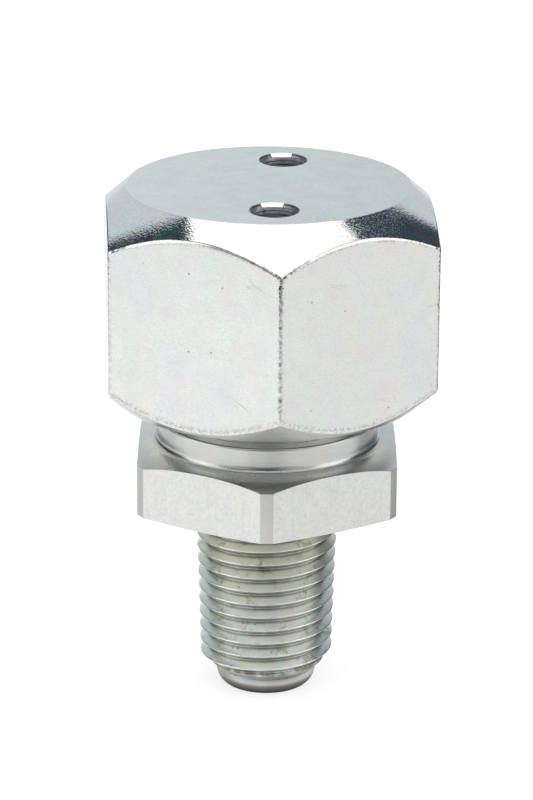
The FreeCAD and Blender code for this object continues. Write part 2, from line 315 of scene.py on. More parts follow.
# finishes; the places in them are metres on the piece, as the shader reads them
class Coat:
    # a zinc finish while its layers go one over another
    def __init__(self, name, look):
        self.material, self.wire = newFinish(name)
        self.look = look
        self.place = self.wire.node("ShaderNodeTexCoord", out="Object")
        self.radius = self.place.stretched(1, 1, 0).vector("LENGTH", out="Value")
        self.height = self.place.axis("Z")
        self.colour = look["colour"]
        self.relief = self.place.grain(look["peelScale"], 2.0, 0.6) * look["peel"]
        self.pit = self.shine = 0.0

    def paint(self, amount, colour):
        self.colour = self.wire.blend(amount, self.colour, colour)

    def plate(self):
        # faint rainbow of the passivated zinc, in patches
        look, place = self.look, self.place
        tints = place.grain(look["tintScale"])
        rainbow = self.wire.node("ShaderNodeValToRGB", {"stops": look["rainbow"]}, {0: tints})
        cloud = place.grain(look["tintScale"] * 0.6, 3.0).rise(*look["cloudMask"])
        self.paint(cloud * look["tint"], rainbow)
        # the plate's hue also changes from grain to grain
        hues = place.grain(look["mottleScale"], out="Color")
        hues = hues.vector("MULTIPLY_ADD", grey(2 * look["mottle"]), grey(1 - look["mottle"]))
        self.colour = self.colour.vector("MULTIPLY", hues)
        # fine speckle, and softer clouds
        speck = place.stretched(1, 1, look["speckTall"]).grain(look["speckScale"], 3.0, 0.7)
        self.paint(speck.rise(*look["speckMask"]) * look["speck"], look["shade"])
        veil = place.grain(look["speckScale"] * 0.2)
        self.paint(veil.rise(*look["veilMask"]) * look["veil"], look["shade"])
        if look["fine"]:
            self.relief = self.relief + place.grain(look["fineScale"], 1.0) * look["fine"]

    def chipEdgesAndDarkReflections(self):
        look = self.look
        # chips along lines; a line can also be a painted dark reflection
        for perRadius, perHeight, level, width, amount in look["fraysAndDarkReflections"]:
            off = (self.radius / mm * perRadius + self.height / mm * perHeight - level).size()
            chips = self.place.grain(look["frayScale"], 3.0, 0.7).rise(*look["chipMask"])
            chips = chips * (1 - off.rise(width * 0.2, width))
            self.paint(chips * amount, look["shade"])
            self.relief = self.relief + chips * look["chipHeight"]

    def drawToolLines(self):
        # rings on a face, rings on a wall, or upright lines on a flat
        look, scale = self.look, self.look["ringScale"]
        if look["marks"] == "upright":
            lines = self.place.stretched(scale, scale, scale * look["ringStretch"]).grain(1.0, 2.0, 0.6)
        else:
            along = self.radius if look["marks"] == "round" else self.height
            lines = self.wire.node("ShaderNodeTexNoise", {"noise_dimensions": "1D"},
                                   {"W": along * scale, "Scale": 1.0, "Detail": 3.0, "Roughness": 0.7})
        self.relief = self.relief + lines * look["rings"]
        broken = self.place.grain(look["ringBreak"]).rise(*look["breakMask"])
        self.paint(lines.rise(*look["ringMask"]) * broken * look["ringShade"], look["shade"])

    def damage(self):
        # small pits, and a few scratches
        look, place = self.look, self.place
        least = 1 - look["pitShare"]
        chosen = place.cells(look["pitScale"], "Color").axis("X").rise(least, least + 0.02)
        self.pit = (1 - place.cells(look["pitScale"]).rise(look["pitSize"] * 0.6, look["pitSize"])) * chosen
        tilted = self.wire.node("ShaderNodeMapping", {"vector_type": "POINT"},
                                {"Vector": place, "Rotation": look["scratchTilt"]})
        hair = tilted.stretched(*look["scratchStretch"]).grain(look["scratchScale"], 1.0, 0.4)
        scratch = 1 - (hair - 0.5).size().rise(0.0, look["scratchWidth"])
        scratch = scratch * place.grain(look["scratchBreak"]).rise(*look["scratchMask"])
        self.paint(self.pit * look["pitDirt"], look["dirtAndShade"])
        self.paint(scratch * look["scratch"], look["shade"])
        self.relief = self.relief - self.pit * look["pitDepth"]

    def shadeNose(self):
        # painted shade on its rounded end and on its left side
        look = self.look
        foot = 1 - self.height.rise(*look["footSpan"])
        left = 1 - self.place.axis("X").rise(*look["leftSpan"])
        self.paint(foot * look["footShade"], look["dirtAndShade"])
        self.paint(left * look["leftShade"], look["dirtAndShade"])

    def soilAndShadeThread(self):
        # yellower near the hexagon; dirt and painted shade in the roots, by depth under the crests, and painted
        # shade on the undersides
        look, place, height = self.look, self.place, self.height
        high = height.rise(*look["upperSpan"])
        self.paint(high * look["upperShare"], look["upper"])
        depth = look["crestRadius"] * mm + (height - look["crestHeight"] * mm) * look["taper"] - self.radius
        low = (depth / mm).rise(*look["grimeAndShadeDepth"])
        patchy = place.grain(look["grimeAndShadeScale"], 3.0).rise(*look["patchMask"]) * 0.3 + 0.7
        # dirt and painted shade in the roots
        self.paint(low * patchy * (high * look["grimeAndShadeHigh"] + look["grimeAndShade"]), look["dirtAndShade"])
        # painted shade on the faces that look down, more of it near the hexagon
        facing = self.wire.node("ShaderNodeTexCoord", out="Normal").axis("Z")
        down = 1 - facing.rise(*look["underFacing"])
        self.paint(down * (high * look["underHigh"] + look["under"]), look["dirtAndShade"])
        # stains, thickest on the nose and just above it
        share = (1 - height.rise(*look["stainFoot"])) * (1 - look["stainShare"]) + look["stainShare"]
        stain = place.grain(look["stainScale"], 4.0, 0.65).rise(*look["stainMask"]) * share
        band = 1 - (height - look["bandHeight"]).size().rise(*look["bandFade"])
        nose = place.grain(look["bandScale"], 3.0, 0.65).rise(*look["bandMask"]) * band
        self.paint(stain.atLeast(nose * look["bandShare"]), look["dirtAndShade"])
        # rubbed crests, and a painted highlight along them
        self.shine = 1 - (depth / mm).rise(*look["rubbedAndHighlitDepth"])
        self.paint(self.shine * look["rubbedAndHighlit"], look["crestColour"])

    def closed(self):
        look, place = self.look, self.place
        wear = place.grain(look["roughScale"], 3.0)
        roughness = look["roughness"] + (wear - 0.5) * look["roughSpread"]
        roughness = roughness + self.pit * look["pitRough"] - self.shine * look["rubbedSmooth"]
        if look["roughSpeck"]:
            # coarser right of the middle
            side = place.axis("X")
            coarse = side.rise(*look["coarseFrom"]) * (1 - side.rise(*look["coarseTo"]) * look["coarseFall"])
            amount = coarse * look["coarse"] + look["roughSpeck"]
            roughness = roughness + place.grain(look["speckScale"], 2.0, 0.6).rise(*look["roughMask"]) * amount
        closeFinish(self.wire, {"Base Color": self.colour, "Metallic": 1.0, "Roughness": roughness,
                                "Normal": bumped(self.wire, self.relief, look["depth"])})
        return self.material


def zincFinish(name, look):
    coat = Coat(name, look)
    coat.plate()
    coat.chipEdgesAndDarkReflections()
    if look["rings"]:
        coat.drawToolLines()
    coat.damage()
    if look["footShade"]:
        coat.shadeNose()
    if look["grimeAndShade"]:
        coat.soilAndShadeThread()
    return coat.closed()


# a scale is how fine a grain is, a mask is where in its values a mark begins and is full
plainZinc = {
    # the dark colour is for dirt and for painted shade
    "colour": (0.87, 0.88, 0.87), "shade": (0.60, 0.61, 0.60), "dirtAndShade": (0.16, 0.14, 0.12),
    "rainbow": [(0.3, (0.86, 0.78, 0.84)), (0.7, (0.80, 0.84, 0.72)), (0.42, (0.74, 0.80, 0.90)),
                (0.5, (0.88, 0.84, 0.70)), (0.58, (0.86, 0.76, 0.84))],
    "tint": 0.30, "tintScale": 170.0, "cloudMask": (0.35, 0.65), "mottle": 0.06, "mottleScale": 900.0,
    "speck": 0.12, "speckTall": 1.0, "speckScale": 3600.0, "speckMask": (0.42, 0.68),
    "veil": 0.08, "veilMask": (0.4, 0.7),
    "peel": 1.0, "peelScale": 2600.0, "fine": 0.0, "fineScale": 6000.0, "depth": 0.02,
    # each fray, and each painted dark reflection: per radius, per height, level, width (mm), amount
    "fraysAndDarkReflections": (), "frayScale": 2600.0, "chipMask": (0.48, 0.58), "chipHeight": 1.2,
    "marks": "round", "rings": 0.0, "ringScale": 6000.0, "ringStretch": 0.02, "ringShade": 0.0,
    "ringMask": (0.42, 0.66), "ringBreak": 300.0, "breakMask": (0.35, 0.6),
    "pitScale": 420.0, "pitSize": 0.05, "pitShare": 0.10, "pitDirt": 0.6, "pitDepth": 0.5, "pitRough": 0.3,
    "scratch": 0.35, "scratchScale": 420.0, "scratchTilt": (0.5, 0.9, 0.7), "scratchStretch": (1, 0.05, 0.3),
    "scratchWidth": 0.006, "scratchBreak": 260.0, "scratchMask": (0.56, 0.64),
    "roughness": 0.26, "roughSpread": 0.16, "roughScale": 700.0, "roughSpeck": 0.0, "roughMask": (0.47, 0.62),
    "footShade": 0.0, "grimeAndShade": 0.0, "rubbedSmooth": 0.14,
}
capFlatLook = {
    **plainZinc, "colour": (0.875, 0.905, 0.875), "roughness": 0.28, "peelScale": 2400.0, "depth": 0.03,
    "speck": 0.30, "speckTall": 3.0, "tintScale": 110.0, "mottle": 0.08, "mottleScale": 500.0,
    "pitScale": 1000.0, "pitShare": 0.16, "pitSize": 0.10, "scratch": 0.6,
    "fraysAndDarkReflections": ((-0.913, 1, 15.98, 0.75, 0.55), (0.891, 1, 60.75, 0.45, 0.5), (1, 0, 17.32, 0.22, 0.2)),
}
edgeLook = {
    **plainZinc, "colour": (0.90, 0.90, 0.89), "shade": (0.09, 0.09, 0.08), "roughness": 0.12,
    "roughSpread": 0.08, "peelScale": 3200.0, "depth": 0.007, "pitShare": 0.25, "pitScale": 1400.0,
    # the first line, at a height of 44.7, is a painted dark reflection at the top of the edges
    "pitSize": 0.13, "speck": 0.3, "tint": 0.1, "fraysAndDarkReflections": ((0, 1, 44.7, 2.4, 1.0), (1, 0, 17.25, 0.5, 0.16)),
}
crownLook = {
    **plainZinc, "colour": (0.845, 0.88, 0.87), "shade": (0.68, 0.70, 0.71), "roughness": 0.22, "rings": 0.6,
    "ringScale": 5200.0, "ringShade": 0.40, "ringBreak": 420.0, "peel": 0.5, "depth": 0.012, "speck": 0.45,
    "speckScale": 3400.0, "veil": 0.25, "mottle": 0.09, "mottleScale": 380.0, "tint": 0.35, "pitShare": 0.12,
    "scratch": 0.7,
}
chamferLook = {
    **plainZinc, "roughness": 0.04, "roughSpread": 0.02, "roughSpeck": 0.015, "peelScale": 3000.0, "fine": 1.2,
    "depth": 0.0019, "speck": 0.05, "speckScale": 6500.0, "tint": 0.5, "tintScale": 320.0, "mottle": 0.28,
    "mottleScale": 3000.0, "coarse": 0.20, "coarseFrom": (0.003, 0.007), "coarseTo": (0.0108, 0.0128),
    "coarseFall": 0.8,
}
ventLook = {
    **plainZinc, "colour": (0.92, 0.93, 0.96), "shade": (0.15, 0.16, 0.17), "roughness": 0.34, "marks": "level",
    "rings": 1.0, "ringScale": 3400.0, "ringShade": 1.0, "ringBreak": 200.0, "depth": 0.05, "tint": 0.0,
}
collarLook = {
    **plainZinc, "colour": (0.66, 0.67, 0.63), "roughness": 0.25, "marks": "level", "rings": 0.5,
    "ringScale": 6500.0, "ringShade": 0.22, "depth": 0.006,
}
coneLook = {
    **plainZinc, "colour": (0.69, 0.70, 0.67), "roughness": 0.30, "rings": 0.7, "ringScale": 7000.0,
    "ringShade": 0.25, "depth": 0.010,
}
studFlatLook = {
    **plainZinc, "colour": (0.84, 0.85, 0.82), "shade": (0.62, 0.63, 0.61), "roughness": 0.32,
    "marks": "upright", "rings": 1.2, "ringScale": 3500.0, "ringShade": 0.22, "ringBreak": 500.0,
    "depth": 0.016, "tint": 0.14, "tintScale": 140.0, "speck": 0.45, "mottle": 0.08, "pitScale": 900.0,
    "pitShare": 0.14, "pitSize": 0.10, "scratch": 0.6,
}
threadLook = {
    **plainZinc, "colour": (0.91, 0.94, 0.89), "dirtAndShade": (0.15, 0.15, 0.12), "roughness": 0.33, "tint": 0.1,
    "depth": 0.012, "mottle": 0.12, "pitShare": 0.5, "pitScale": 800.0, "pitSize": 0.12,
    "crestRadius": 6.4585, "crestHeight": 10.5, "taper": 1 / 32,
    "crestColour": (0.88, 0.89, 0.86), "rubbedAndHighlit": 0.5, "rubbedAndHighlitDepth": (0.01, 0.03),
    "upper": (0.85, 0.85, 0.74), "upperShare": 0.8, "upperSpan": (0.008, 0.016),
    "grimeAndShade": 0.6, "grimeAndShadeHigh": 0.08, "grimeAndShadeScale": 900.0, "grimeAndShadeDepth": (0.50, 0.80), "patchMask": (0.3, 0.6),
    "under": 0.3, "underHigh": 0.06, "underFacing": (-0.8, -0.3),
    "stainScale": 620.0, "stainMask": (0.57, 0.66), "stainShare": 0.4, "stainFoot": (0.0014, 0.0032),
    "bandShare": 0.7, "bandScale": 900.0, "bandMask": (0.42, 0.6), "bandHeight": 0.0027,
    "bandFade": (0.0002, 0.0006),
}
capThreadLook = {**threadLook, "crestRadius": 9.93, "crestHeight": 34, "taper": 0.0, "grimeAndShade": 0.4}
boreLook = {
    **plainZinc, "colour": (0.54, 0.56, 0.57), "roughness": 0.36, "depth": 0.012,
    # the nose's foot and left side get painted shade
    "footShade": 0.92, "footSpan": (0.0008, 0.0013), "leftShade": 0.6, "leftSpan": (-0.0042, -0.0024),
}

finishes = {
    "flat": zincFinish("zincDrawnFlats", capFlatLook),
    "crown": zincFinish("zincTurnedCrown", crownLook),
    "chamfer": zincFinish("zincPolishedChamfer", chamferLook),
    "vent": zincFinish("zincDrilledVent", ventLook),
    "collar": zincFinish("zincTurnedCollar", collarLook),
    "studFlat": zincFinish("zincStudFlats", studFlatLook),
    "thread": zincFinish("zincTaperThread", threadLook),
    "capThread": zincFinish("zincCapThread", capThreadLook),
    "bore": zincFinish("zincBore", boreLook),
    "edge": zincFinish("zincBrokenEdge", edgeLook),
    "cone": zincFinish("zincTurnedCone", coneLook),
}
print("finishes made", len(finishes))

# camera
view = {"from": (0.0, -320.6, 139.9), "at": (0.0, 0.0, 28.13), "lens": 163.5, "roll": 0.379, "shift": -0.00125}
cameraData = bpy.data.cameras.new("photoCamera")
cameraData.lens = view["lens"]
cameraData.sensor_width = 36
cameraData.shift_x = view["shift"]
cameraData.clip_start = 0.01
camera = bpy.data.objects.new("photoCamera", cameraData)
bpy.context.scene.collection.objects.link(camera)
gaze = (Vector(view["at"]) - Vector(view["from"])) * mm
camera.location = Vector(view["from"]) * mm
camera.rotation_mode = "QUATERNION"
camera.rotation_quaternion = gaze.to_track_quat("-Z", "Y") @ Quaternion((0, 0, 1), math.radians(view["roll"]))
bpy.context.scene.camera = camera

# stud; the corners of a turned outline are (radius, height, rounding)
stud = {
    "finishes": ("collar", "studFlat", "bore", "thread", "capThread", "edge", "cone"),
    "segments": 144, "startAngle": math.radians(-90), "hexCorner": math.radians(-90), "apothem": 12.0,
    "outside": ((6.72, 18.75, 0), (6.72, 18.85, 0.06), (12.02, 18.85, 0), (13.52, 19.0, 0),
                (13.52, 23.80, 0), (12.75, 24.17, 0.5), (11.6, 24.53, 0.5), (10.32, 24.66, 0.62),
                (10.32, 26.97, 0.22), (8.85, 26.97, 0.06), (8.85, 30.25, 0)),
    "inside": ((4.80, 1.70, 0), (4.50, 0.46, 0.45), (3.95, 0, 0.18), (3.3, 0, 0.04),
               (3.0, 0.3, 0.04), (3.0, 34.37, 0.05), (6.5, 34.37, 0.1), (6.5, 38.37, 0.08),
               (8.93, 38.37, 0.04), (8.98, 38.32, 0)),
    "coneSpan": (23.75, 24.7), "coneInner": 10.95, "collarTop": 26.9, "collarInner": 10.1,
    "edge": 0.12, "edgeAngle": math.radians(8), "cornerAngle": math.radians(15), "cornerInner": 13.3,
    "taperThread": {"pitch": 1.337, "crest": 6.4585, "root": 5.65, "rootHalf": 0.07, "dome": 0.08,
                    "flank": 27.5, "rootRound": 0.05, "turns": 16, "span": (1.75, 18.7)},
    "gaugeHeight": 10.5, "taper": 1 / 32, "groovePhase": -87.4, "grooveHeight": 1.4,
    "leadRadius": 4.80, "leadHeight": 1.8, "leadSlope": 1.06, "fadeSpan": (17.0, 18.4),
    "capThread": {"pitch": 1.5, "crest": 9.93, "root": 9.01, "rootHalf": 0.125, "dome": 0.16, "flank": 30,
                  "rootRound": 0.08, "turns": 9, "span": (30.3, 38.3)},
    "capPhase": 30.4, "neckEnd": (8.85, 30.4), "rimEnd": (8.93, 38.37),
    "joins": ((1.70, 1.75, "thread"), (18.70, 18.75, "thread"), (30.25, 30.30, "capThread"),
              (38.30, 38.32, "capThread")),
}
studSlot = {name: number for number, name in enumerate(stud["finishes"])}


def studOutside():
    bm = turned(stud["outside"], 5)
    cutHexagon(bm, stud["apothem"], stud["hexCorner"], studSlot["studFlat"])
    coneFoot, coneTop = stud["coneSpan"]
    for face in bm.faces:
        middle = face.calc_center_median()
        r = fromAxis(middle)
        onCone = coneFoot < middle.z < coneTop and r > stud["coneInner"]
        onTop = middle.z > stud["collarTop"] and r < stud["collarInner"]
        if face.material_index == studSlot["collar"] and (onCone or onTop):
            face.material_index = studSlot["cone"]
    sharp = []
    for edge in bm.edges:
        if len(edge.link_faces) != 2 or edge.calc_face_angle() <= stud["edgeAngle"]:
            continue
        besideFlat = any(f.material_index == studSlot["studFlat"] for f in edge.link_faces)
        onCorner = all(fromAxis(v.co) > stud["cornerInner"] for v in edge.verts)
        if besideFlat or onCorner and edge.calc_face_angle() > stud["cornerAngle"]:
            sharp.append(edge)
    bevelEdges(bm, sharp, stud["edge"], 2, studSlot["edge"])
    return bm


def taperRadius(r, z):
    # the groove fades out under the hexagon, the thread tapers, and its first turns run out on the nose
    fadeFrom, fadeTo = stud["fadeSpan"]
    fade = min(1, max(0, (fadeTo - z) / (fadeTo - fadeFrom)))
    crest = stud["taperThread"]["crest"]
    r = crest - (crest - r) * fade + (z - stud["gaugeHeight"]) * stud["taper"]
    return min(r, stud["leadRadius"] + max(0, z - stud["leadHeight"]) * stud["leadSlope"])


def capThreadRadius(r, z):
    # a chamfer at each end
    neckRadius, neckHeight = stud["neckEnd"]
    rimRadius, rimHeight = stud["rimEnd"]
    return min(r, neckRadius + max(0, z - neckHeight), rimRadius + max(0, rimHeight - z))


# a crest is half a pitch from the groove, and both threads begin two turns lower than they show
taperPitch = stud["taperThread"]["pitch"]
grooveTurn = (math.degrees(stud["startAngle"]) - stud["groovePhase"]) / 360
taperLowest = stud["grooveHeight"] + taperPitch * (grooveTurn + 0.5 - 2)
capLowest = stud["capPhase"] - 2 * stud["capThread"]["pitch"]

bm = studOutside()
gather(bm, turned(stud["inside"], 6), studSlot["bore"])
gather(bm, threadSleeve(stud["taperThread"], taperLowest, taperRadius), studSlot["thread"])
gather(bm, threadSleeve(stud["capThread"], capLowest, capThreadRadius), studSlot["capThread"])
for lower, upper, finish in stud["joins"]:
    joinRings(bm, lower, upper, studSlot[finish])
finishPiece(bm, "threadedStud", "stud", "stud_body", stud["finishes"])

# cap
cap = {
    "finishes": ("collar", "flat", "chamfer", "crown", "vent", "bore", "edge"),
    "segments": 216, "apothem": 15.0, "turned": math.radians(3.8), "bottom": 29.17, "top": 49.10,
    "roof": 42.77, "clear": 17.6, "bottomRadius": 14.45, "bottomRound": 0.08, "bottomSlope": 42.4,
    "crownRadius": 13.07, "crownRound": 0.06, "crownLip": 0.5, "crownEdge": 0.05,
    "chamferSlope": 41.7, "chamferRise": 0.105, "chamferDrop": 3.83, "chamferRows": 7,
    "edge": 0.17, "cornerCuts": 90, "cornerReach": 2.2, "cornerGrow": 0.3, "cornerRough": 0.5,
    "roughTall": 1.6, "roughSeed": 7.3, "wornSpan": (31.5, 44.9), "wornEnds": (0.8, 0.4),
    # deep nicks on a corner: height, half height, depth
    "nicks": {0: ((34.2, 0.3, 0.9), (44.3, 0.4, 0.5)), 5: ((36.0, 0.3, 0.8),), 1: ((40.0, 0.3, 0.8),)},
    "thread": {"pitch": 1.5, "crest": 9.25, "root": 10.1, "rootHalf": 0.0715, "dome": 0.28, "flank": 30,
               "rootRound": 0.05, "turns": 12, "span": (29.3, 38.3)},
    "entryRadius": 10.7, "rimRadius": 10.75, "reliefFrom": 38.2,
    "chamber": ((10.1, 38.35, 0), (10.1, 38.47, 0.04), (10.6, 38.47, 0.05), (10.6, 42.77, 0)),
    "boss": ((0, 41.37, 0), (5.5, 41.37, 0.15), (5.5, 42.77, 0)),
    "mouth": ((10.57, 29.28, 0), (10.7, 29.17, 0.04), (10.75, 29.17, 0)),
    "reliefJoin": (38.30, 38.35), "mouthJoin": (29.28, 29.30), "vents": ((0.49, -8.60), (1.31, 8.26)),
}
capSlot = {name: number for number, name in enumerate(cap["finishes"])}
cornerAngle = math.radians(-90) + cap["turned"]
# the wall of a vent hole is (radius, height) from its mouth down, and part of its mouth along x is polished
vent = {
    "radius": 2.12, "mouth": 0.25, "wall": ((2.12, 48.85), (2.11, 48.70), (2.10, 47.10), (1.94, 42.77)),
    "segments": 64, "oval": 0.32, "ovalDown": 48.1, "burr": 0.05, "burrScale": 2.3, "burrLift": 0.6,
    "polished": (-0.56, 0.44),
}


def capOutside():
    bm = bmesh.new()
    top, bottom = cap["top"], cap["bottom"]
    lowSlope = math.tan(math.radians(cap["bottomSlope"]))
    topSlope = math.tan(math.radians(cap["chamferSlope"]))
    corners = [
        (cap["rimRadius"], bottom, 0), (cap["bottomRadius"], bottom, cap["bottomRound"]),
        (cap["clear"], bottom + (cap["clear"] - cap["bottomRadius"]) * lowSlope, 0),
        (cap["clear"], top - (cap["clear"] - cap["crownRadius"]) * topSlope, 0),
        (cap["crownRadius"], top, cap["crownRound"]), (cap["crownRadius"] - cap["crownLip"], top, 0),
    ]
    spinOutline(bm, softened(corners, 3), cap["segments"], cornerAngle + math.pi / cap["segments"])
    cutHexagon(bm, cap["apothem"], cornerAngle, capSlot["flat"])
    for face in bm.faces:
        middle = face.calc_center_median()
        if face.material_index != capSlot["flat"] and middle.z > cap["roof"]:
            outside = fromAxis(middle) > cap["crownRadius"] - cap["crownEdge"]
            face.material_index = capSlot["chamfer" if outside else "crown"]
    # the corner edges are cut up, so that they can be worn
    upright = [e for e in bm.edges if all(f.material_index == capSlot["flat"] for f in e.link_faces)]
    for edge in upright:
        for left in range(cap["cornerCuts"], 0, -1):
            lowEnd = min(edge.verts, key=lambda v: v.co.z)
            vert = bmesh.utils.edge_split(edge, lowEnd, 1 / (left + 1))[1]
            edge = max(vert.link_edges, key=lambda e: e.verts[0].co.z + e.verts[1].co.z)
    edges = [e for e in bm.edges
             if len(e.link_faces) == 2 and any(f.material_index == capSlot["flat"] for f in e.link_faces)]
    wearCorners(bevelEdges(bm, edges, cap["edge"], 4, capSlot["edge"]))
    bowChamfer(bm)
    return bm


def wearCorners(strip):
    # the broken corner edges are ragged: the break is wider here and there, with a few deep nicks
    reach = cap["edge"] * cap["cornerReach"]
    low, high = cap["wornSpan"]
    lowEnd, highEnd = cap["wornEnds"]
    radius = cap["apothem"] / math.cos(math.radians(30))
    for vert in {v for face in strip for v in face.verts}:
        for corner in range(6):
            angle = cornerAngle + math.radians(60 * corner)
            tip = Vector((math.cos(angle) * radius, math.sin(angle) * radius, vert.co.z))
            away = vert.co - tip
            if away.length > reach or not low < vert.co.z < high:
                continue
            spot = Vector((corner * cap["roughSeed"], 0, vert.co.z * cap["roughTall"]))
            rough = noise.fractal(spot, 0.9, 2.2, 4)
            ends = min(1, (vert.co.z - low) / lowEnd, (high - vert.co.z) / highEnd)
            grow = max(0, cap["cornerGrow"] + rough * cap["cornerRough"]) * ends
            for height, half, deep in cap["nicks"].get(corner, ()):
                grow += deep * max(0, 1 - abs(vert.co.z - height) / half)
            vert.co = tip + away * (1 + grow)


def bowChamfer(bm):
    # the chamfer is a little steeper at its foot than at the crown
    for row in range(1, cap["chamferRows"]):
        faces = [f for f in bm.faces if f.material_index == capSlot["chamfer"]]
        parts = {part for f in faces for part in (*f.verts, *f.edges)}
        height = cap["top"] - cap["chamferDrop"] * row / cap["chamferRows"]
        bmesh.ops.bisect_plane(bm, geom=[*faces, *parts], dist=planeReach, plane_co=(0, 0, height),
                               plane_no=(0, 0, 1))
    reach = cap["chamferDrop"] / math.tan(math.radians(cap["chamferSlope"]))
    for v in bm.verts:
        along = (fromAxis(v.co) - cap["crownRadius"]) / reach
        if v.co.z > cap["top"] - cap["chamferDrop"] - 1 and 0 < along < 1:
            v.co.z += cap["chamferRise"] * 2 * along * (1 - along)


def nutRadius(r, z):
    # a chamfer at the entry, and a relief above the last turn
    entry = cap["entryRadius"] - (z - cap["bottom"])
    relief = cap["thread"]["root"] - max(0, cap["reliefFrom"] - z)
    return max(r, entry, relief)


def ventWall(x, y):
    bm = bmesh.new()
    radius, mouth, scale = vent["radius"], vent["mouth"], vent["burrScale"]
    made = bmesh.ops.create_circle(bm, cap_ends=False, segments=vent["segments"], radius=radius + mouth,
                                   matrix=Matrix.Translation((x, y, cap["top"])))

    def wider(share):
        # the burr was taken off by hand, wider at the front and back
        return mouth * vent["oval"] * (2 * share * share - 1)

    for v in made["verts"]:
        out = Vector((v.co.x - x, v.co.y - y, 0)).normalized()
        v.co += out * wider(out.y)
    edges = list({e for v in made["verts"] for e in v.link_edges})
    for r, z in vent["wall"]:
        grown = bmesh.ops.extrude_edge_only(bm, edges=edges)["geom"]
        for v in only(grown, bmesh.types.BMVert):
            out = Vector((v.co.x - x, v.co.y - y, 0)).normalized() * r
            burr = noise.noise(Vector((out.x * scale, out.y * scale, y))) * vent["burr"] if r == radius else 0.0
            v.co = Vector((x, y, z)) + out * (1 + burr / r) + Vector((0, 0, burr * vent["burrLift"]))
            if z > vent["ovalDown"]:
                v.co.z -= wider(out.y / r)
        edges = only(grown, bmesh.types.BMEdge)
    bm.normal_update()
    leftEnd, rightEnd = vent["polished"]
    for face in bm.faces:
        face.smooth = True
        onMouth = abs(face.normal.z) > 0.3
        polished = leftEnd * radius < face.calc_center_median().x - x < rightEnd * radius
        face.material_index = capSlot["chamfer" if onMouth and polished else "vent"]
        for edge in face.edges:
            if onMouth and abs(edge.verts[0].co.z - edge.verts[1].co.z) < 0.1:
                edge.smooth = False
    return bm


# the roots of the cap's thread stand over the crests of the stud's
nutLowest = stud["capPhase"] - 3.5 * cap["thread"]["pitch"]

bm = capOutside()
gather(bm, threadSleeve(cap["thread"], nutLowest, nutRadius), capSlot["bore"])
for outline in ("chamber", "boss", "mouth"):
    gather(bm, turned(cap[outline], 2), capSlot["bore"])
for x, y in cap["vents"]:
    gather(bm, ventWall(x, y))
joinRings(bm, *cap["reliefJoin"], capSlot["bore"])
bmesh.ops.bridge_loops(bm, edges=[e for height in cap["mouthJoin"] for e in openRing(bm, height)])
bmesh.ops.bridge_loops(bm, edges=openRing(bm, cap["bottom"]))
for height, finish in ((cap["top"], "crown"), (cap["roof"], "bore")):
    filled = bmesh.ops.triangle_fill(bm, use_beauty=True, edges=openRing(bm, height))
    for face in only(filled["geom"], bmesh.types.BMFace):
        face.material_index = capSlot[finish]
        face.smooth = False
finishPiece(bm, "hexagonCap", "cap", "hex_cap", cap["finishes"])


# inner parts
def grainyFinish(name, look):
    material, wire = newFinish(name)
    place = wire.node("ShaderNodeTexCoord", out="Object")
    grains = place.cells(look["scale"])
    shade = place.grain(look["scale"] * 0.2, 3.0)
    colour = wire.blend(grains.rise(0.1, 0.8), look["colour"], look["shade"])
    colour = wire.blend(shade.rise(0.4, 0.7) * 0.4, colour, look["shade"])
    closeFinish(wire, {"Base Color": colour, "Metallic": look["metal"],
                       "Roughness": shade * 0.2 + look["roughness"],
                       "Normal": bumped(wire, grains, look["depth"])})
    return material


innerLooks = {
    "filter_disc": {"colour": (0.56, 0.40, 0.22), "shade": (0.22, 0.14, 0.07), "scale": 3600.0,
                    "metal": 1.0, "roughness": 0.42, "depth": 0.12},
    "filter_gasket": {"colour": (0.035, 0.035, 0.036), "shade": (0.02, 0.02, 0.02), "scale": 5000.0,
                      "metal": 0.0, "roughness": 0.5, "depth": 0.02},
    "retaining_ring": {"colour": (0.30, 0.30, 0.32), "shade": (0.17, 0.16, 0.16), "scale": 2500.0,
                       "metal": 1.0, "roughness": 0.3, "depth": 0.01},
}
for nodeName, look in innerLooks.items():
    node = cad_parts[nodeName]
    node.data.materials.clear()
    node.data.materials.append(grainyFinish(nodeName + "Finish", look))
print("inner parts finished")

# studio; the metal mirrors a table and a room that the camera doesn't see
studio = {
    "floorSize": 6.0, "floorColour": 0.38, "floorGlow": 0.78,
    "lampSize": 0.58, "lampHeight": 0.55, "lampLevel": 1.3, "lampAt": (-0.013, -0.093), "lampTurn": -17.0,
    "worldLevel": 0.60, "dark": (0.038, 0.060, 0.080), "pale": (0.72, 0.785, 0.81),
}
# turns are degrees round from the camera's side, reaches are mm from the part's axis,
# and Sides are a value on the left and one on the right
table = {
    "frontTurn": (14.0, 19.0), "frontSteps": ((62.0, 88.0, 0.42), (92.0, 104.0, -0.34), (138.0, 146.0, 0.64)),
    "cornerTurn": (26.0, 36.0), "cornerReach": (138.0, 146.0), "cornerShare": 0.7,
    "flagTurn": (98.0, 106.0), "flagEndSides": (138.0, 142.0), "flagSoft": 6.0, "flagReach": (10.0, 18.0),
    "flagSides": (0.28, 0.83), "gapReach": (50.0, 94.0, 8.0), "gapShare": 0.45,
    "besideTurn": (85.0, 112.0), "besideReach": (12.0, 18.0), "besideSides": (0.5, 0.7),
    # the part's shadow on the table is painted
    "underReach": (3.9, 5.3), "contactShadowReach": (8.0, 14.0), "contactShadow": (0.11, 0.11, 0.115),
    "leftLevel": 0.96, "leftSteps": ((82.0, 92.0, 0.10), (105.0, 128.0, -0.13)), "rightLevel": 0.845,
    "behindTurn": (150.0, 158.0), "behindLift": 0.3, "paleReach": (150.0, 260.0),
}
